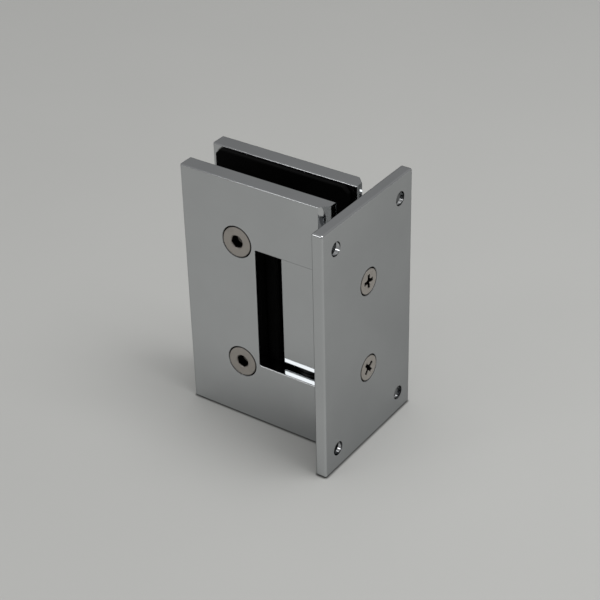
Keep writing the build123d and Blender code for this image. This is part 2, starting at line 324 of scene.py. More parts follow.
def ground_steel(finishes, centre):
    """Centreless-ground steel: fine lines round the pin, under a cloud of light wear."""
    material, tree, shader = blank_material("ground_steel", metallic=1.0)
    place_round = object_place(tree, stretch=(0.04, 0.04, 1.0), centre=centre)
    lines = noise(tree, place_round, size=0.09 * MM, detail=2.0)
    cloud = noise(tree, object_place(tree), size=5 * MM, detail=3.0)
    colour = tuple(finishes.pin_colour)
    lined = blend_colours(tree, ramp(tree, lines, low=0.35, high=0.7), shade(colour, 0.9), colour)
    tone = blend_colours(tree, ramp(tree, cloud, low=0.5, high=0.8), lined, shade(colour, 0.82))
    rough = ramp(tree, lines, low=0.3, high=0.75, result_low=0.2, result_high=0.34)
    finish_node(tree, shader, tone, rough, bump(tree, lines, depth=0.003 * MM))
    return material


def black_oxide(finishes):
    """Blackened steel, rubbed bright along its thread and edges."""
    material, tree, shader = blank_material("black_oxide", metallic=1.0)
    cloud = noise(tree, object_place(tree), size=1.2 * MM, detail=4.0)
    wear = edge_wear(tree, radius=0.15 * MM)
    colour = tuple(finishes.oxide_colour)
    clouded = blend_colours(tree, ramp(tree, cloud, low=0.35, high=0.7), shade(colour, 0.7), colour)
    tone = blend_colours(tree, wear, clouded, shade(colour, 2.4))
    rough = ramp(tree, cloud, low=0.3, high=0.7, result_low=0.34, result_high=0.5)
    finish_node(tree, shader, tone, rough, bump(tree, cloud, depth=0.006 * MM))
    return material


def drawn_wire(finishes):
    """Spring wire: lines drawn along it, and a film of oil that gathers in patches."""
    material, tree, shader = blank_material("drawn_wire", metallic=1.0)
    place = add_node(tree, "ShaderNodeAttribute", attribute_name=WIRE_PLACE).outputs["Vector"]
    lines = noise(tree, place, size=1.0, detail=3.0)
    oil = noise(tree, object_place(tree), size=2.4 * MM, detail=3.0, distortion=0.8)
    colour = tuple(finishes.spring_colour)
    lined = blend_colours(tree, ramp(tree, lines, low=0.35, high=0.7), shade(colour, 0.72), colour)
    tone = blend_colours(tree, ramp(tree, oil, low=0.5, high=0.75), lined, shade(colour, 0.6))
    rough = ramp(tree, oil, low=0.45, high=0.75, result_low=0.36, result_high=0.2)
    finish_node(tree, shader, tone, rough, bump(tree, lines, depth=0.008 * MM))
    return material


def turned_brass(finishes):
    """Brass off the lathe: tool rings along the plunger, tarnished where the grease left it."""
    material, tree, shader = blank_material("turned_brass", metallic=1.0)
    along = add_node(tree, "ShaderNodeSeparateXYZ", {0: object_place(tree)}).outputs[0]
    rings = line_noise(tree, along, size=0.12 * MM, detail=2.0)
    tarnish = noise(tree, object_place(tree), size=3.0 * MM, detail=4.0, distortion=0.5)
    colour = tuple(finishes.brass_colour)
    ringed = blend_colours(tree, ramp(tree, rings, low=0.3, high=0.7), shade(colour, 0.88), colour)
    dull = (0.62 * colour[0], 0.56 * colour[1], 0.5 * colour[2])
    tone = blend_colours(tree, ramp(tree, tarnish, low=0.5, high=0.8), ringed, dull)
    rough = ramp(tree, tarnish, low=0.4, high=0.8, result_low=0.24, result_high=0.42)
    finish_node(tree, shader, tone, rough, bump(tree, rings, depth=0.006 * MM))
    return material


def black_polymer(name, colour, roughness, grain, grain_depth, gloss):
    """Black rubber or plastic: a fine grain, a little bloom and paler rubbed edges."""
    material, tree, shader = blank_material(name)
    fine = noise(tree, object_place(tree), size=grain, detail=3.0)
    bloom = noise(tree, object_place(tree), size=14 * MM, detail=4.0, distortion=0.7)
    wear = edge_wear(tree, radius=0.3 * MM)
    bloomed = blend_colours(tree, ramp(tree, bloom, low=0.45, high=0.8), colour, shade(colour, 1.8))
    tone = blend_colours(tree, wear, bloomed, shade(colour, 2.2))
    smoother, rougher = 0.88 * roughness, 1.12 * roughness
    bloom_rough = ramp(tree, bloom, low=0.35, high=0.75, result_low=smoother, result_high=rougher)
    rough = roughened(tree, bloom_rough, where=fine, by=0.08)
    shader.inputs["Specular IOR Level"].default_value = gloss
    finish_node(tree, shader, tone, rough, bump(tree, fine, depth=grain_depth))
    return material


def paper_floor(colour):
    """Matt paper with a barely uneven tone, and a painted contact shadow right under what stands on it."""
    material, tree, shader = blank_material("paper_floor")
    fibres = noise(tree, object_place(tree), size=60 * MM, detail=4.0)
    plain = blend_colours(tree, fibres, shade(colour, 0.985), shade(colour, 1.015))
    # Painted shadow: the paper darkened to half where things stand on it
    tone = blend_colours(tree, crevice_shade(tree, reach=0.8 * MM), plain, shade(colour, 0.5))
    rough = ramp(tree, fibres, low=0.3, high=0.7, result_low=0.72, result_high=0.8)
    shader.inputs["Specular IOR Level"].default_value = 0.1
    finish_node(tree, shader, tone, rough)
    return material


def dress(node, material):
    """Give a CAD node its finish in place of the plain one."""
    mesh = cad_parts[node].data
    mesh.materials.clear()
    mesh.materials.append(material)


# ---- Geometry Nodes ---------------------------------------------------------------------------


def new_tree(name, numbers, vectors):
    """A geometry tree with named inputs for its numbers, vectors and material, and their sockets."""
    tree = bpy.data.node_groups.new(name, "GeometryNodeTree")
    tree.interface.new_socket("Geometry", in_out="OUTPUT", socket_type="NodeSocketGeometry")
    kinds = {"NodeSocketFloat": numbers, "NodeSocketVector": vectors, "NodeSocketMaterial": ("Material",)}
    for kind, inputs in kinds.items():
        for size in inputs:
            tree.interface.new_socket(size, in_out="INPUT", socket_type=kind)
    return tree, add_node(tree, "NodeGroupInput").outputs


def moved(tree, geometry, shift=(0.0, 0.0, 0.0), turn=(0.0, 0.0, 0.0)):
    """Geometry turned and then shifted."""
    values = {"Geometry": geometry, "Translation": shift, "Rotation": turn}
    return add_node(tree, "GeometryNodeTransform", values).outputs[0]


def combine(tree, x=0.0, y=0.0, z=0.0):
    """A vector from three measures."""
    return add_node(tree, "ShaderNodeCombineXYZ", {0: x, 1: y, 2: z}).outputs[0]


def own_place(tree):
    """The X, Y and Z of each point."""
    place = add_node(tree, "GeometryNodeInputPosition").outputs[0]
    return add_node(tree, "ShaderNodeSeparateXYZ", {0: place}).outputs


def placed(tree, geometry, x, y, z):
    """Geometry with each point put at a new place."""
    values = {"Geometry": geometry, "Position": combine(tree, x, y, z)}
    return add_node(tree, "GeometryNodeSetPosition", values).outputs[0]


def welded(tree, geometry):
    """Geometry with the points that lie together made one."""
    values = {"Geometry": geometry, "Distance": WELD}
    return add_node(tree, "GeometryNodeMergeByDistance", values).outputs[0]


def marked(tree, geometry, name, vector):
    """Geometry that keeps a vector for each point under a name."""
    values = {"Geometry": geometry, "Name": name, "Value": vector}
    kind = "GeometryNodeStoreNamedAttribute"
    return add_node(tree, kind, values, data_type="FLOAT_VECTOR").outputs[0]


def creased(tree, shape, degrees):
    """Smooth shading with edges kept sharp past an angle."""
    kind = "GeometryNodeSetShadeSmooth"
    smooth = add_node(tree, kind, {"Geometry": shape}, domain="FACE").outputs[0]
    values = {0: add_node(tree, "GeometryNodeInputMeshEdgeAngle").outputs[0], 1: math.radians(degrees)}
    steep = add_node(tree, "FunctionNodeCompare", values, operation="GREATER_THAN").outputs[0]
    values = {"Geometry": smooth, "Selection": steep, "Shade Smooth": False}
    return add_node(tree, kind, values, domain="EDGE").outputs[0]


def close_tree(tree, geometry, sizes):
    """End a tree: turn the geometry onto its axis, make it real and give it its finish."""
    turned = moved(tree, geometry, turn=sizes["Axis Turn"])
    real = add_node(tree, "GeometryNodeRealizeInstances", {"Geometry": turned}).outputs[0]
    values = {"Geometry": real, "Material": sizes["Material"]}
    finished = add_node(tree, "GeometryNodeSetMaterial", values).outputs[0]
    add_node(tree, "NodeGroupOutput", {0: finished})
    arrange(tree)


# ---- Screws -----------------------------------------------------------------------------------

ROUND = 48  # Faces round a screw
HEAD_ROWS = 4  # Rows of them on its head
PITCH_ROWS = 10  # Rows on each pitch of its thread
TIP_ROWS = 2  # Rows on its tip
RIM_EASE = 0.35  # Share of a head's rim that its eased edge takes
FLANK_STEEPNESS = 1.5  # How much steeper a thread's flanks are than a plain zigzag
CREST = 0.2  # How far the zigzag is sunk to leave a flat crest, over the thread's depth
DRILL_WIDTH = 0.98  # Width of the drill's cone under a hexagon socket, over the key's width
DRILL_LEVEL = 0.95  # Where the drill's cone starts, over the socket's depth
DRILL_DEPTH = 0.6  # Depth of the drill's cone, over half the key's width
WING_LENGTH_LOSS = 0.35  # Share of a cross recess's length that is gone at its full depth
WING_WIDTH_LOSS = 0.2  # Share of its wings' width that is gone there
WELL_RADIUS = 0.95  # Radius of the well where its wings meet, over a wing's width
WELL_DEPTH = 1.2  # Depth of the well, over the wings' depth

SCREW_NUMBERS = (
    "Radius", "Head Radius", "Rim", "Length", "Pitch", "Thread Depth", "Tip Chamfer",
    "Key", "Key Mouth", "Key Depth", "First Turn", "Turn Step",
)
SCREW_VECTORS = ("First Place", "Place Step", "Axis Turn")


def cone(tree, top_radius, low, height, sides=ROUND):
    """A cone on the screw's axis, its point down at a level and its base higher by a height."""
    values = {"Vertices": sides, "Radius Top": top_radius, "Radius Bottom": 0.0, "Depth": height}
    shape = add_node(tree, "GeometryNodeMeshCone", values).outputs["Mesh"]
    return moved(tree, shape, combine(tree, z=low))


def hex_recess(tree, sizes):
    """A hexagon socket with a chamfered mouth and the drill's cone at its bottom."""
    half_key = divide(tree, sizes["Key"], 2.0)
    corner = divide(tree, half_key, math.cos(math.radians(30)))
    values = {"Vertices": 6, "Radius": corner, "Depth": multiply(tree, sizes["Key Depth"], 2.0)}
    prism = add_node(tree, "GeometryNodeMeshCylinder", values).outputs["Mesh"]

    half_mouth = divide(tree, sizes["Key Mouth"], 2.0)
    doubled = multiply(tree, half_mouth, 2.0)
    mouth = cone(tree, doubled, multiply(tree, half_mouth, -1.0), doubled)

    point = multiply(tree, half_key, -DRILL_DEPTH)
    low = math_node(tree, "MULTIPLY_ADD", sizes["Key Depth"], -DRILL_LEVEL, point)
    drill = cone(tree, multiply(tree, half_key, DRILL_WIDTH), low, multiply(tree, half_key, DRILL_DEPTH))
    return prism, mouth, drill


def cross_recess(tree, sizes):
    """A cross recess: two wings that narrow with depth, and a pointed well where they meet."""
    tall = multiply(tree, sizes["Key Depth"], 2.0)
    values = {"Size": combine(tree, sizes["Key Mouth"], sizes["Key"], tall)}
    block = add_node(tree, "GeometryNodeMeshCube", values).outputs["Mesh"]
    x, y, z = own_place(tree)
    height = divide(tree, z, sizes["Key Depth"])
    shortened = multiply(tree, x, math_node(tree, "MULTIPLY_ADD", height, WING_LENGTH_LOSS, 1.0))
    thinned = multiply(tree, y, math_node(tree, "MULTIPLY_ADD", height, WING_WIDTH_LOSS, 1.0))
    wing = placed(tree, block, shortened, thinned, z)
    crossing = moved(tree, wing, turn=(0.0, 0.0, math.radians(90)))

    depth = multiply(tree, sizes["Key Depth"], WELL_DEPTH)
    radius = multiply(tree, multiply(tree, sizes["Key"], WELL_RADIUS), 2.0)
    well = cone(tree, radius, multiply(tree, depth, -1.0), multiply(tree, depth, 2.0), sides=ROUND // 2)
    return wing, crossing, well


def chosen(tree, number, choices):
    """The choice at a number, where each choice is a value or a socket."""
    switch = add_node(tree, "GeometryNodeIndexSwitch", {0: number}, data_type="FLOAT")
    while len(switch.index_switch_items) < len(choices):
        switch.index_switch_items.new()
    for socket, choice in zip(list(switch.inputs)[1:], choices):
        if isinstance(choice, bpy.types.NodeSocket):
            tree.links.new(choice, socket)
        else:
            socket.default_value = choice
    return switch.outputs[0]


def thread_cut(tree, sizes, wound, down_thread):
    """How deep the thread is cut, from its turns so far and the way down it. It starts gently."""
    wave = math_node(tree, "PINGPONG", multiply(tree, wound, 2.0), 1.0)
    flank = math_node(tree, "MULTIPLY_ADD", wave, FLANK_STEEPNESS, -CREST, clamped=True)
    started = ramp(tree, divide(tree, down_thread, sizes["Pitch"]), 0.0, 1.0)
    return multiply(tree, multiply(tree, flank, started), sizes["Thread Depth"])


def screw_body(tree, sizes):
    """A threaded screw with a countersunk head: a grid rolled up round its axis."""
    cone_depth = subtract(tree, sizes["Head Radius"], sizes["Radius"])
    thread_top = add(tree, cone_depth, sizes["Rim"])
    thread_end = subtract(tree, sizes["Length"], sizes["Tip Chamfer"])
    thread_length = subtract(tree, thread_end, thread_top)
    turns = divide(tree, thread_length, sizes["Pitch"])
    steps = math_node(tree, "CEIL", multiply(tree, turns, PITCH_ROWS))
    rows = add(tree, steps, HEAD_ROWS + 1 + TIP_ROWS)

    # The grid's points by row and column, and each column's way round
    values = {"Vertices X": ROUND + 1, "Vertices Y": rows}
    grid = add_node(tree, "GeometryNodeMeshGrid", values).outputs["Mesh"]
    number = add_node(tree, "GeometryNodeInputIndex").outputs[0]
    row = math_node(tree, "FLOORED_MODULO", number, rows)
    column = math_node(tree, "FLOOR", divide(tree, add(tree, number, 0.5), rows))
    round_way = divide(tree, column, -ROUND)

    # The thread's radius and depth at each row between the head and the tip
    past_head = math_node(tree, "MAXIMUM", subtract(tree, row, HEAD_ROWS), 0.0)
    step = math_node(tree, "MINIMUM", past_head, steps)
    down_thread = multiply(tree, thread_length, divide(tree, step, steps))
    thread_depth = add(tree, thread_top, down_thread)
    wound = add(tree, divide(tree, thread_depth, sizes["Pitch"]), round_way)
    thread_radius = subtract(tree, sizes["Radius"], thread_cut(tree, sizes, wound, down_thread))

    # The profile from the head's middle to the tip's, as radii and depths
    ease = multiply(tree, sizes["Rim"], RIM_EASE)
    tip_row = subtract(tree, row, subtract(tree, rows, TIP_ROWS + 1))
    head_stage = math_node(tree, "MINIMUM", row, HEAD_ROWS)
    stage = add(tree, head_stage, math_node(tree, "MAXIMUM", tip_row, 0.0))
    face_radius = subtract(tree, sizes["Head Radius"], ease)
    tip_radius = subtract(tree, sizes["Radius"], sizes["Tip Chamfer"])
    profile = (
        (0.0, 0.0),
        (face_radius, 0.0),
        (sizes["Head Radius"], ease),
        (sizes["Head Radius"], sizes["Rim"]),
        (thread_radius, thread_depth),
        (tip_radius, sizes["Length"]),
        (0.0, sizes["Length"]),
    )
    radius, depth = (chosen(tree, stage, choices) for choices in zip(*profile))
    angle = multiply(tree, round_way, math.tau)
    x = multiply(tree, radius, math_node(tree, "COSINE", angle))
    y = multiply(tree, radius, math_node(tree, "SINE", angle))
    return welded(tree, placed(tree, grid, x, y, multiply(tree, depth, -1.0)))


def screw_tree(name, recess):
    """A tree that makes a pair of threaded screws with a recess cut in their heads."""
    tree, sizes = new_tree(name, SCREW_NUMBERS, SCREW_VECTORS)
    values = {"Mesh 1": screw_body(tree, sizes)}
    kind = "GeometryNodeMeshBoolean"
    cutting = add_node(tree, kind, values, operation="DIFFERENCE", solver="EXACT")
    for cutter in recess(tree, sizes):
        tree.links.new(cutter, cutting.inputs["Mesh 2"])
    screw = welded(tree, cutting.outputs[0])
    screw = marked(tree, screw, SCREW_PLACE, add_node(tree, "GeometryNodeInputPosition").outputs[0])
    screw = creased(tree, screw, degrees=35)

    values = {"Count": len(ENDS), "Start Location": sizes["First Place"], "Offset": sizes["Place Step"]}
    places = add_node(tree, "GeometryNodeMeshLine", values).outputs[0]
    which = add_node(tree, "GeometryNodeInputIndex").outputs[0]
    turn = math_node(tree, "MULTIPLY_ADD", which, sizes["Turn Step"], sizes["First Turn"])
    values = {"Points": places, "Instance": screw, "Rotation": combine(tree, z=turn)}
    screws = add_node(tree, "GeometryNodeInstanceOnPoints", values).outputs[0]
    close_tree(tree, screws, sizes)
    return tree


# ---- Springs ----------------------------------------------------------------------------------

TURN_POINTS = 48  # Points along each turn of a spring
WIRE_SIDES = 16  # Faces round its wire
GROUND_SHARE = 0.6  # Share of the wire's radius that grinding leaves past its centre line
DRAWN_LENGTH = 4 * MM  # Length of wire over which its drawn lines change

COIL_NUMBERS = ("Coil Radius", "Wire Radius", "Length", "Turns", "Closing")
COIL_VECTORS = ("Place", "Axis Turn")


def coil_tree():
    """A tree that makes a compression spring, its end turns closed up and ground flat."""
    tree, sizes = new_tree("coil_spring", COIL_NUMBERS, COIL_VECTORS)
    values = {
        "Resolution": TURN_POINTS,
        "Rotations": sizes["Turns"],
        "Start Radius": sizes["Coil Radius"],
        "End Radius": sizes["Coil Radius"],
        "Height": 1.0,
    }
    helix = add_node(tree, "GeometryNodeCurveSpiral", values).outputs[0]
    share = add_node(tree, "GeometryNodeSplineParameter").outputs["Factor"]
    lag = multiply(tree, math_node(tree, "SINE", multiply(tree, share, math.tau)), sizes["Closing"])
    paced = math_node(tree, "MULTIPLY_ADD", lag, -1.0 / math.tau, share)
    ground = multiply(tree, sizes["Wire Radius"], GROUND_SHARE)
    rise = math_node(tree, "MULTIPLY_ADD", ground, -2.0, sizes["Length"])
    level = math_node(tree, "MULTIPLY_ADD", paced, rise, ground)
    x, y, _ = own_place(tree)
    wound = placed(tree, helix, x, y, level)

    along = add_node(tree, "GeometryNodeSplineParameter").outputs["Length"]
    wound = marked(tree, wound, WIRE_PLACE, combine(tree, divide(tree, along, DRAWN_LENGTH)))
    values = {"Resolution": WIRE_SIDES, "Radius": sizes["Wire Radius"]}
    section = add_node(tree, "GeometryNodeCurvePrimitiveCircle", values).outputs[0]
    values = {"Curve": wound, "Profile Curve": section, "Fill Caps": True}
    wire = add_node(tree, "GeometryNodeCurveToMesh", values).outputs[0]

    x, y, z = own_place(tree)
    flat = math_node(tree, "MINIMUM", math_node(tree, "MAXIMUM", z, 0.0), sizes["Length"])
    spring = creased(tree, placed(tree, wire, x, y, flat), degrees=50)
    close_tree(tree, moved(tree, spring, sizes["Place"]), sizes)
    return tree


def grown_piece(name, tree, values):
    """A plain mesh piece grown by a geometry tree from these sizes."""
    piece = bpy.data.objects.new(name, bpy.data.meshes.new(name))
    bpy.context.scene.collection.objects.link(piece)
    modifier = piece.modifiers.new(name, "NODES")
    modifier.node_group = tree
    sockets = {item.name: item.identifier for item in tree.interface.items_tree if item.in_out == "INPUT"}
    for size, value in values.items():
        modifier[sockets[size]] = value
    evaluated = piece.evaluated_get(bpy.context.evaluated_depsgraph_get())
    mesh = bpy.data.meshes.new_from_object(evaluated)
    piece.modifiers.remove(modifier)
    if not mesh.polygons:
        raise RuntimeError(f"{name} came out empty")
    mesh.name = name
    piece.data = mesh
    return piece


# ---- Sizes and colours ------------------------------------------------------------------------


def number_property(name, description, default, **kind):
    """A property for a number that is never below zero."""
    return FloatProperty(name=name, description=description, default=default, min=0.0, **kind)


def length_property(name, description, default):
    """A property for a length in metres."""
    return number_property(name, description, default, unit="LENGTH", precision=5)


def power_property(name, description, default):
    """A property for a lamp's power in watts."""
    return number_property(name, description, default, unit="POWER")


def share_property(name, description, default):
    """A property for a share from 0 to 1."""
    return number_property(name, description, default, max=1.0, subtype="FACTOR")


def angle_property(name, description, degrees):
    """A property for an angle."""
    angle = math.radians(degrees)
    return FloatProperty(name=name, description=description, default=angle, subtype="ANGLE")


def vector_property(name, description, default, **kind):
    """A property for three numbers."""
    return FloatVectorProperty(name=name, description=description, default=default, **kind)


def colour_property(name, description, default):
    """A property for a colour."""
    return vector_property(name, description, default, min=0.0, max=1.0, subtype="COLOR")


class HingeFinishes(PropertyGroup):
    """Colours and polish of the hinge's finishes."""

    chrome_colour: colour_property("Chrome", "Colour of the chrome plating", (0.54, 0.552, 0.561))
    chrome_roughness: share_property("Chrome roughness", "Roughness of the cleanest plating", 0.05)
    chrome_rim_shade: share_property("Chrome rim", "How bright the plating is at a grazing angle", 0.1)
    screw_colour: colour_property("Screws", "Colour of the stainless screws", (0.45, 0.42, 0.388))
    screw_roughness: share_property("Screw roughness", "Roughness of the screws' heads", 0.3)
    # Painted shade: the near-black that the screws' recesses are darkened to
    recess_shade_colour: colour_property("Recess", "Colour of the screws' recesses", (0.008, 0.007, 0.006))
    # Painted shade: the colour that crevices and gaps are darkened to, standing in for the shade there
    gap_shade_colour: colour_property("Grime", "Colour of the grime in the crevices", (0.06, 0.058, 0.055))
    pin_colour: colour_property("Pin", "Colour of the ground pin", (0.6, 0.6, 0.6))
    oxide_colour: colour_property("Black oxide", "Colour of the grub screws", (0.09, 0.09, 0.095))
    spring_colour: colour_property("Spring wire", "Colour of the springs", (0.42, 0.42, 0.42))
    brass_colour: colour_property("Brass", "Colour of the plungers", (0.78, 0.58, 0.27))
    rubber_colour: colour_property("Rubber", "Colour of the gaskets", (0.002, 0.002, 0.002))
    plastic_colour: colour_property("Plastic", "Colour of the bushes and sleeves", (0.008, 0.008, 0.008))


class HingeFasteners(PropertyGroup):
    """Sizes of the screws, springs and gaskets that the frame doesn't hold."""

    clamp_screw_radius: length_property("Clamp screw radius", "Radius of their thread", 3.0 * MM)
    clamp_screw_pitch: length_property("Clamp screw pitch", "Pitch of their thread", 1.0 * MM)
    clamp_screw_key: length_property("Clamp screw key", "Hexagon key of the clamp screws", 4.0 * MM)
    clamp_screw_mouth: length_property("Clamp screw mouth", "Width of the socket's mouth", 4.9 * MM)
    clamp_screw_key_depth: length_property("Clamp screw socket", "Depth of the socket", 2.6 * MM)
    clamp_screw_first_turn: angle_property("Clamp screw turn", "Turn of the lower socket", 40.0)
    clamp_screw_turn_step: angle_property("Clamp screw step", "Turn from there to the upper one", -28.0)
    block_screw_radius: length_property("Block screw radius", "Radius of their thread", 2.5 * MM)
    block_screw_pitch: length_property("Block screw pitch", "Pitch of their thread", 0.8 * MM)
    block_screw_cross: length_property("Block screw cross", "Length of the cross over its wings", 5.0 * MM)
    block_screw_wing: length_property("Block screw wing", "Width of a wing of the cross", 1.3 * MM)
    block_screw_cross_depth: length_property("Block screw recess", "Depth of the cross", 2.0 * MM)
    block_screw_first_turn: angle_property("Block screw turn", "Turn of the upper cross", 0.0)
    block_screw_turn_step: angle_property("Block screw step", "Turn from there to the lower one", 40.0)
    grub_screw_pitch: length_property("Grub screw pitch", "Pitch of their thread", 0.8 * MM)
    grub_screw_key: length_property("Grub screw key", "Hexagon key of the grub screws", 2.5 * MM)
    grub_screw_mouth: length_property("Grub screw mouth", "Width of the socket's mouth", 2.9 * MM)
    grub_screw_key_depth: length_property("Grub screw socket", "Depth of the socket", 2.5 * MM)
    grub_screw_first_turn: angle_property("Grub screw turn", "Turn of the lower socket", 20.0)
    grub_screw_turn_step: angle_property("Grub screw step", "Turn from there to the upper one", 25.0)
    head_rim: length_property("Head rim", "Height of a countersunk head's straight rim", 0.45 * MM)
    tip_chamfer: length_property("Tip chamfer", "Chamfer on a screw's tip", 0.6 * MM)
    thread_share: share_property("Thread depth", "Depth of a thread as a share of its pitch", 0.54)
    spring_wire: length_property("Spring wire", "Thickness of the springs' wire", 1.0 * MM)
    spring_turns: number_property("Spring turns", "Turns of a spring, end turns included", 4.2)
    spring_closing: share_property("Spring closing", "How much closer the end turns lie", 0.22)
    gasket_edge: length_property("Gasket edge", "Rounding of the gaskets' edges", 0.2 * MM)


class HingeStudio(PropertyGroup):
    """Floor, light and camera. Each azimuth is the angle round the hinge from -Y towards +X."""

    floor_colour: colour_property("Floor", "Colour of the floor", (0.511, 0.513, 0.498))
    floor_radius: length_property("Floor radius", "Radius of the floor", 8.0)
    wall_light: number_property("Wall light", "Brightness of the room's walls", 0.355)
    ceiling_light: number_property("Ceiling light", "Brightness of the room's ceiling", 1.75)
    right_power: power_property("Right lamp", "Power of the right softbox", 1.42)
    right_azimuth: angle_property("Right azimuth", "Azimuth of the right softbox", 98.0)
    right_elevation: angle_property("Right elevation", "Its angle above the floor", 66.0)
    right_size: length_property("Right size", "Side of the right softbox", 0.3)
    right_distance: length_property("Right distance", "Distance to the right softbox", 0.6)
    left_power: power_property("Left lamp", "Power of the left softbox", 0.4)
    left_azimuth: angle_property("Left azimuth", "Azimuth of the left softbox", -35.3)
    left_elevation: angle_property("Left elevation", "Its angle above the floor", 33.0)
    left_size: length_property("Left size", "Side of the left softbox", 0.2)
    left_distance: length_property("Left distance", "Distance to the left softbox", 1.2)
    lens: number_property("Lens", "Focal length in millimetres", 98.0, unit="CAMERA")
    sensor: number_property("Sensor", "Width of the sensor in millimetres", 36.0, unit="CAMERA")
    camera_aim: vector_property(
        "Camera aim",
        "Point that the camera looks at",
        (-26.2 * MM, -0.33 * MM, 0.67 * MM),
        subtype="TRANSLATION",
    )
    camera_distance: length_property("Camera distance", "Distance from the camera to its aim", 0.5297)
    camera_azimuth: angle_property("Camera azimuth", "Azimuth of the camera", 35.3)
    camera_elevation: angle_property("Camera elevation", "Its angle above the floor", 32.66)
    camera_roll: angle_property("Camera roll", "Lean of the camera about its line of sight", -1.48)


# ---- Pieces -----------------------------------------------------------------------------------


def made(name, maker, *details):
    """A finish by its name, made the first time that it is asked for."""
    return bpy.data.materials.get(name) or maker(*details)


class HINGE_OT_wall_plate(Operator):
    """Plate the wall plate"""

    bl_idname = "hinge.wall_plate"
    bl_label = "Wall plate"
    bl_options = {"REGISTER", "UNDO"}

    def execute(self, context):
        dress("wall_plate", made("chrome_plating", chrome_plating, context.scene.hinge_finishes))
        return {"FINISHED"}


class HINGE_OT_pivot_block(Operator):
    """Plate the pivot block"""

    bl_idname = "hinge.pivot_block"
    bl_label = "Pivot block"
    bl_options = {"REGISTER", "UNDO"}

    def execute(self, context):
        dress("pivot_block", made("chrome_plating", chrome_plating, context.scene.hinge_finishes))
        return {"FINISHED"}


class HINGE_OT_leaves(Operator):
    """Plate the two leaves"""

    bl_idname = "hinge.leaves"
    bl_label = "Leaves"
    bl_options = {"REGISTER", "UNDO"}

    def execute(self, context):
        chrome = made("chrome_plating", chrome_plating, context.scene.hinge_finishes)
        for node in ("front_leaf", "rear_leaf"):
            dress(node, chrome)
        return {"FINISHED"}


class HINGE_OT_gaskets(Operator):
    """Round the gaskets' edges and give them their rubber"""

    bl_idname = "hinge.gaskets"
    bl_label = "Gaskets"
    bl_options = {"REGISTER", "UNDO"}

    def execute(self, context):
        rubber = black_polymer(
            "black_rubber",
            colour=tuple(context.scene.hinge_finishes.rubber_colour),
            roughness=0.6,
            grain=0.3 * MM,
            grain_depth=0.01 * MM,
            gloss=0.03,
        )
        for node in ("front_gasket", "rear_gasket"):
            mesh = self.round_edges(node, context.scene.hinge_fasteners.gasket_edge)
            mesh.materials.append(rubber)
            piece = bpy.data.objects.new(f"{node}_rubber", mesh)
            context.scene.collection.objects.link(piece)
            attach(piece, GLASS_SIDE)
            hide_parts(node)
        return {"FINISHED"}

    def round_edges(self, node, radius):
        """A merged copy of a CAD sheet with its flat faces whole and its edges rounded."""
        shape = bmesh.new()
        shape.from_mesh(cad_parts[node].data)
        bmesh.ops.remove_doubles(shape, verts=shape.verts, dist=WELD)
        flat, steep, sharp = math.radians(1), math.radians(60), math.radians(40)
        bmesh.ops.dissolve_limit(shape, angle_limit=flat, verts=shape.verts, edges=shape.edges)
        rims = [edge for edge in shape.edges if edge.calc_face_angle(0.0) > steep]
        bmesh.ops.bevel(shape, geom=rims, offset=radius, segments=3, affect="EDGES", clamp_overlap=True)
        bmesh.ops.recalc_face_normals(shape, faces=shape.faces)
        for face in shape.faces:
            face.smooth = True
        mesh = bpy.data.meshes.new(f"{node}_rubber")
        shape.to_mesh(mesh)
        shape.free()
        mesh.set_sharp_from_angle(angle=sharp)
        return mesh


def screw_values(fasteners, radius, pitch, head_radius, rim, length):
    """The sizes of a screw without its recess, and without its place."""
    return {
        "Radius": radius,
        "Head Radius": head_radius,
        "Rim": rim,
        "Length": length,
        "Pitch": pitch,
        "Thread Depth": fasteners.thread_share * pitch,
        "Tip Chamfer": fasteners.tip_chamfer,
    }


class HINGE_OT_clamp_screws(Operator):
    """Make the two screws that draw the leaves together"""

    bl_idname = "hinge.clamp_screws"
    bl_label = "Clamp screws"
    bl_options = {"REGISTER", "UNDO"}

    def execute(self, context):
        fasteners = context.scene.hinge_fasteners
        nodes = [f"clamp_screw_{end}" for end in ENDS]
        upper, lower = (middle(node) for node in nodes)
        steel = screw_steel(
            context.scene.hinge_finishes,
            "clamp_screw_steel",
            recess_radius=fasteners.clamp_screw_mouth / 2,
            recess_depth=fasteners.clamp_screw_key_depth,
        )
        values = screw_values(
            fasteners,
            radius=fasteners.clamp_screw_radius,
            pitch=fasteners.clamp_screw_pitch,
            head_radius=extent(nodes[0]).x / 2,
            rim=fasteners.head_rim,
            length=extent(nodes[0]).y,
        )
        values.update({
            "Key": fasteners.clamp_screw_key,
            "Key Mouth": fasteners.clamp_screw_mouth,
            "Key Depth": fasteners.clamp_screw_key_depth,
            "First Turn": fasteners.clamp_screw_first_turn,
            "Turn Step": fasteners.clamp_screw_turn_step,
            "First Place": (lower.x, lower.z, -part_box(nodes[0])[0].y),
            "Place Step": (0.0, upper.z - lower.z, 0.0),
            "Axis Turn": (math.radians(90), 0.0, 0.0),
            "Material": steel,
        })
        piece = grown_piece("clamp_screws", screw_tree("hex_screws", hex_recess), values)
        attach(piece, GLASS_SIDE)
        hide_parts(*nodes)
        return {"FINISHED"}


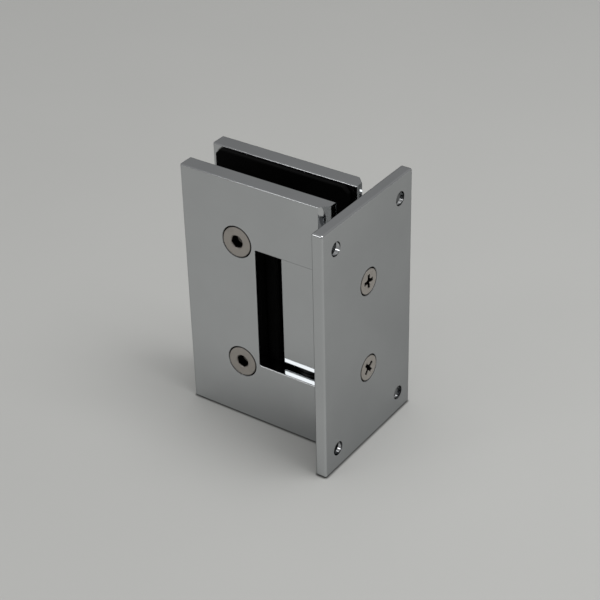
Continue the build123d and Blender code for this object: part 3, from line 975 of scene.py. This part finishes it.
class HINGE_OT_block_screws(Operator):
    """Make the two screws that hold the pivot block to the wall plate"""

    bl_idname = "hinge.block_screws"
    bl_label = "Block screws"
    bl_options = {"REGISTER", "UNDO"}

    def execute(self, context):
        fasteners = context.scene.hinge_fasteners
        nodes = [f"block_screw_{end}" for end in ENDS]
        upper, lower = (middle(node) for node in nodes)
        steel = screw_steel(
            context.scene.hinge_finishes,
            "block_screw_steel",
            recess_radius=fasteners.block_screw_cross / 2,
            recess_depth=fasteners.block_screw_cross_depth,
        )
        values = screw_values(
            fasteners,
            radius=fasteners.block_screw_radius,
            pitch=fasteners.block_screw_pitch,
            head_radius=extent(nodes[0]).y / 2,
            rim=fasteners.head_rim,
            length=extent(nodes[0]).x,
        )
        values.update({
            "Key": fasteners.block_screw_wing,
            "Key Mouth": fasteners.block_screw_cross,
            "Key Depth": fasteners.block_screw_cross_depth,
            "First Turn": fasteners.block_screw_first_turn,
            "Turn Step": fasteners.block_screw_turn_step,
            "First Place": (-upper.z, upper.y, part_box(nodes[0])[1].x),
            "Place Step": (upper.z - lower.z, 0.0, 0.0),
            "Axis Turn": (0.0, math.radians(90), 0.0),
            "Material": steel,
        })
        piece = grown_piece("block_screws", screw_tree("cross_screws", cross_recess), values)
        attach(piece, WALL_SIDE)
        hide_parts(*nodes)
        return {"FINISHED"}


class HINGE_OT_grub_screws(Operator):
    """Make the two grub screws that lock the pin"""

    bl_idname = "hinge.grub_screws"
    bl_label = "Grub screws"
    bl_options = {"REGISTER", "UNDO"}

    def execute(self, context):
        fasteners = context.scene.hinge_fasteners
        nodes = [f"grub_screw_{end}" for end in ENDS]
        upper, lower = (middle(node) for node in nodes)
        radius = extent(nodes[0]).y / 2
        values = screw_values(
            fasteners,
            radius=radius,
            pitch=fasteners.grub_screw_pitch,
            head_radius=radius,
            rim=fasteners.tip_chamfer,
            length=extent(nodes[0]).x,
        )
        values.update({
            "Key": fasteners.grub_screw_key,
            "Key Mouth": fasteners.grub_screw_mouth,
            "Key Depth": fasteners.grub_screw_key_depth,
            "First Turn": fasteners.grub_screw_first_turn,
            "Turn Step": fasteners.grub_screw_turn_step,
            "First Place": (lower.z, lower.y, -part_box(nodes[1])[0].x),
            "Place Step": (upper.z - lower.z, 0.0, 0.0),
            "Axis Turn": (0.0, math.radians(-90), 0.0),
            "Material": black_oxide(context.scene.hinge_finishes),
        })
        piece = grown_piece("grub_screws", bpy.data.node_groups["hex_screws"], values)
        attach(piece, GLASS_SIDE)
        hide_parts(*nodes)
        return {"FINISHED"}


class HINGE_OT_pivot_pin(Operator):
    """Give the pin its ground finish"""

    bl_idname = "hinge.pivot_pin"
    bl_label = "Pivot pin"
    bl_options = {"REGISTER", "UNDO"}

    def execute(self, context):
        dress("pivot_pin", ground_steel(context.scene.hinge_finishes, middle("pivot_pin")))
        return {"FINISHED"}


class HINGE_OT_bushes(Operator):
    """Give the bushes their black acetal"""

    bl_idname = "hinge.bushes"
    bl_label = "Bushes"
    bl_options = {"REGISTER", "UNDO"}

    def execute(self, context):
        acetal = black_polymer(
            "black_acetal",
            colour=tuple(context.scene.hinge_finishes.plastic_colour),
            roughness=0.36,
            grain=0.5 * MM,
            grain_depth=0.003 * MM,
            gloss=0.3,
        )
        for end in ENDS:
            dress(f"bush_{end}", acetal)
        return {"FINISHED"}


class HINGE_OT_plungers(Operator):
    """Give the plungers their turned brass"""

    bl_idname = "hinge.plungers"
    bl_label = "Plungers"
    bl_options = {"REGISTER", "UNDO"}

    def execute(self, context):
        brass = turned_brass(context.scene.hinge_finishes)
        for end in ENDS:
            dress(f"plunger_{end}", brass)
        return {"FINISHED"}


class HINGE_OT_springs(Operator):
    """Wind the two springs behind the plungers"""

    bl_idname = "hinge.springs"
    bl_label = "Plunger springs"
    bl_options = {"REGISTER", "UNDO"}

    def execute(self, context):
        fasteners = context.scene.hinge_fasteners
        tree = coil_tree()
        wire = drawn_wire(context.scene.hinge_finishes)
        for end in ENDS:
            node = f"plunger_spring_{end}"
            low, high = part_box(node)
            centre, size = middle(node), extent(node)
            values = {
                "Coil Radius": (size.z - fasteners.spring_wire) / 2,
                "Wire Radius": fasteners.spring_wire / 2,
                "Length": size.x,
                "Turns": fasteners.spring_turns,
                "Closing": fasteners.spring_closing,
                "Place": (centre.z, centre.y, -high.x),
                "Axis Turn": (0.0, math.radians(-90), 0.0),
                "Material": wire,
            }
            piece = grown_piece(f"spring_{end}", tree, values)
            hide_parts(node)
            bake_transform(piece)
        return {"FINISHED"}


class HINGE_OT_sleeves(Operator):
    """Give the sleeves round the clamp screws' posts their moulded plastic"""

    bl_idname = "hinge.sleeves"
    bl_label = "Screw sleeves"
    bl_options = {"REGISTER", "UNDO"}

    def execute(self, context):
        moulded = black_polymer(
            "moulded_plastic",
            colour=tuple(context.scene.hinge_finishes.plastic_colour),
            roughness=0.45,
            grain=0.4 * MM,
            grain_depth=0.006 * MM,
            gloss=0.25,
        )
        for end in ENDS:
            dress(f"screw_sleeve_{end}", moulded)
        return {"FINISHED"}


# ---- Studio -----------------------------------------------------------------------------------


def direction(azimuth, elevation):
    """The direction at an angle round from -Y towards +X, and an angle above the floor."""
    flat = math.cos(elevation)
    return Vector((math.sin(azimuth) * flat, -math.cos(azimuth) * flat, math.sin(elevation)))


class HINGE_OT_studio(Operator):
    """Set the floor, the softboxes, the surroundings and the camera"""

    bl_idname = "hinge.studio"
    bl_label = "Studio"
    bl_options = {"REGISTER", "UNDO"}

    def execute(self, context):
        studio = context.scene.hinge_studio
        self.lay_floor(context, studio)
        for side in ("right", "left"):
            self.hang_softbox(context, studio, side)
        self.light_room(context, studio)
        self.set_camera(context, studio)
        context.scene.view_settings.view_transform = "Standard"
        return {"FINISHED"}

    def lay_floor(self, context, studio):
        """A round floor under the hinge."""
        mesh = bpy.data.meshes.new("floor")
        shape = bmesh.new()
        under = Matrix.Translation((0, 0, CAD_BOX[0][2]))
        bmesh.ops.create_circle(shape, cap_ends=True, segments=96, radius=studio.floor_radius, matrix=under)
        shape.to_mesh(mesh)
        shape.free()
        floor = bpy.data.objects.new("floor", mesh)
        context.scene.collection.objects.link(floor)
        mesh.materials.append(paper_floor(tuple(studio.floor_colour)))

    def hang_softbox(self, context, studio, side):
        """A square softbox on one side, which faces the hinge."""
        name = f"softbox_{side}"
        lamp = bpy.data.lights.new(name, "AREA")
        lamp.shape = "SQUARE"
        lamp.size = getattr(studio, f"{side}_size")
        lamp.energy = getattr(studio, f"{side}_power")
        softbox = bpy.data.objects.new(name, lamp)
        towards = direction(getattr(studio, f"{side}_azimuth"), getattr(studio, f"{side}_elevation"))
        softbox.location = towards * getattr(studio, f"{side}_distance")
        softbox.rotation_euler = towards.to_track_quat("Z", "Y").to_euler()
        context.scene.collection.objects.link(softbox)

    def light_room(self, context, studio):
        """A plain room round the hinge, with dim walls and a bright ceiling."""
        world = bpy.data.worlds.new("studio_room")
        world.use_nodes = True
        tree = world.node_tree
        tree.nodes.clear()
        heading = add_node(tree, "ShaderNodeTexCoord").outputs["Generated"]
        height = add_node(tree, "ShaderNodeSeparateXYZ", {0: heading}).outputs["Z"]
        wall_top, ceiling_edge = 0.86, 0.94  # Shares of the room's height, as seen from its middle
        light = ramp(tree, height, wall_top, ceiling_edge, studio.wall_light, studio.ceiling_light)
        white = (1.0, 1.0, 1.0, 1.0)
        back = add_node(tree, "ShaderNodeBackground", {"Color": white, "Strength": light})
        add_node(tree, "ShaderNodeOutputWorld", {"Surface": back.outputs[0]})
        arrange(tree)
        context.scene.world = world

    def set_camera(self, context, studio):
        """The camera, aimed at the middle of the hinge."""
        lens = bpy.data.cameras.new("camera")
        lens.sensor_width = studio.sensor
        lens.lens = studio.lens
        lens.clip_start = 10 * MM
        camera = bpy.data.objects.new("camera", lens)
        back = direction(studio.camera_azimuth, studio.camera_elevation)
        right = Vector((math.cos(studio.camera_azimuth), math.sin(studio.camera_azimuth), 0.0))
        turn = Matrix((right, back.cross(right), back)).transposed()
        turn = turn @ Matrix.Rotation(studio.camera_roll, 3, "Z")
        place = studio.camera_aim + back * studio.camera_distance
        camera.matrix_world = Matrix.Translation(place) @ turn.to_4x4()
        context.scene.collection.objects.link(camera)
        context.scene.camera = camera


OPERATORS = (
    HINGE_OT_studio,
    HINGE_OT_wall_plate,
    HINGE_OT_pivot_block,
    HINGE_OT_leaves,
    HINGE_OT_gaskets,
    HINGE_OT_clamp_screws,
    HINGE_OT_block_screws,
    HINGE_OT_grub_screws,
    HINGE_OT_pivot_pin,
    HINGE_OT_bushes,
    HINGE_OT_plungers,
    HINGE_OT_springs,
    HINGE_OT_sleeves,
)
GROUPS = {"hinge_finishes": HingeFinishes, "hinge_fasteners": HingeFasteners, "hinge_studio": HingeStudio}


class HINGE_PT_panel(Panel):
    """The hinge's pieces, sizes and finishes"""

    bl_idname = "HINGE_PT_panel"
    bl_label = "Glass Door Hinge"
    bl_space_type = "VIEW_3D"
    bl_region_type = "UI"
    bl_category = "Hinge"

    def draw(self, context):
        for operator in OPERATORS:
            self.layout.operator(operator.bl_idname)
        for name, group in GROUPS.items():
            box = self.layout.box()
            for size in group.__annotations__:
                box.prop(getattr(context.scene, name), size)


def register():
    """Add the sizes, the operators and the panel."""
    for kind in (*GROUPS.values(), *OPERATORS, HINGE_PT_panel):
        bpy.utils.register_class(kind)
    for name, group in GROUPS.items():
        setattr(bpy.types.Scene, name, PointerProperty(type=group))


def unregister():
    """Take them away again."""
    for name in GROUPS:
        delattr(bpy.types.Scene, name)
    for kind in (HINGE_PT_panel, *reversed(OPERATORS), *reversed(GROUPS.values())):
        bpy.utils.unregister_class(kind)


def main():
    """Register the add-on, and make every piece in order."""
    register()
    bpy.ops.hinge.studio()
    bpy.ops.hinge.wall_plate()
    bpy.ops.hinge.pivot_block()
    bpy.ops.hinge.leaves()
    bpy.ops.hinge.gaskets()
    bpy.ops.hinge.clamp_screws()
    bpy.ops.hinge.block_screws()
    bpy.ops.hinge.grub_screws()
    bpy.ops.hinge.pivot_pin()
    bpy.ops.hinge.bushes()
    bpy.ops.hinge.plungers()
    bpy.ops.hinge.springs()
    bpy.ops.hinge.sleeves()


if __name__ == "__main__":
    main()
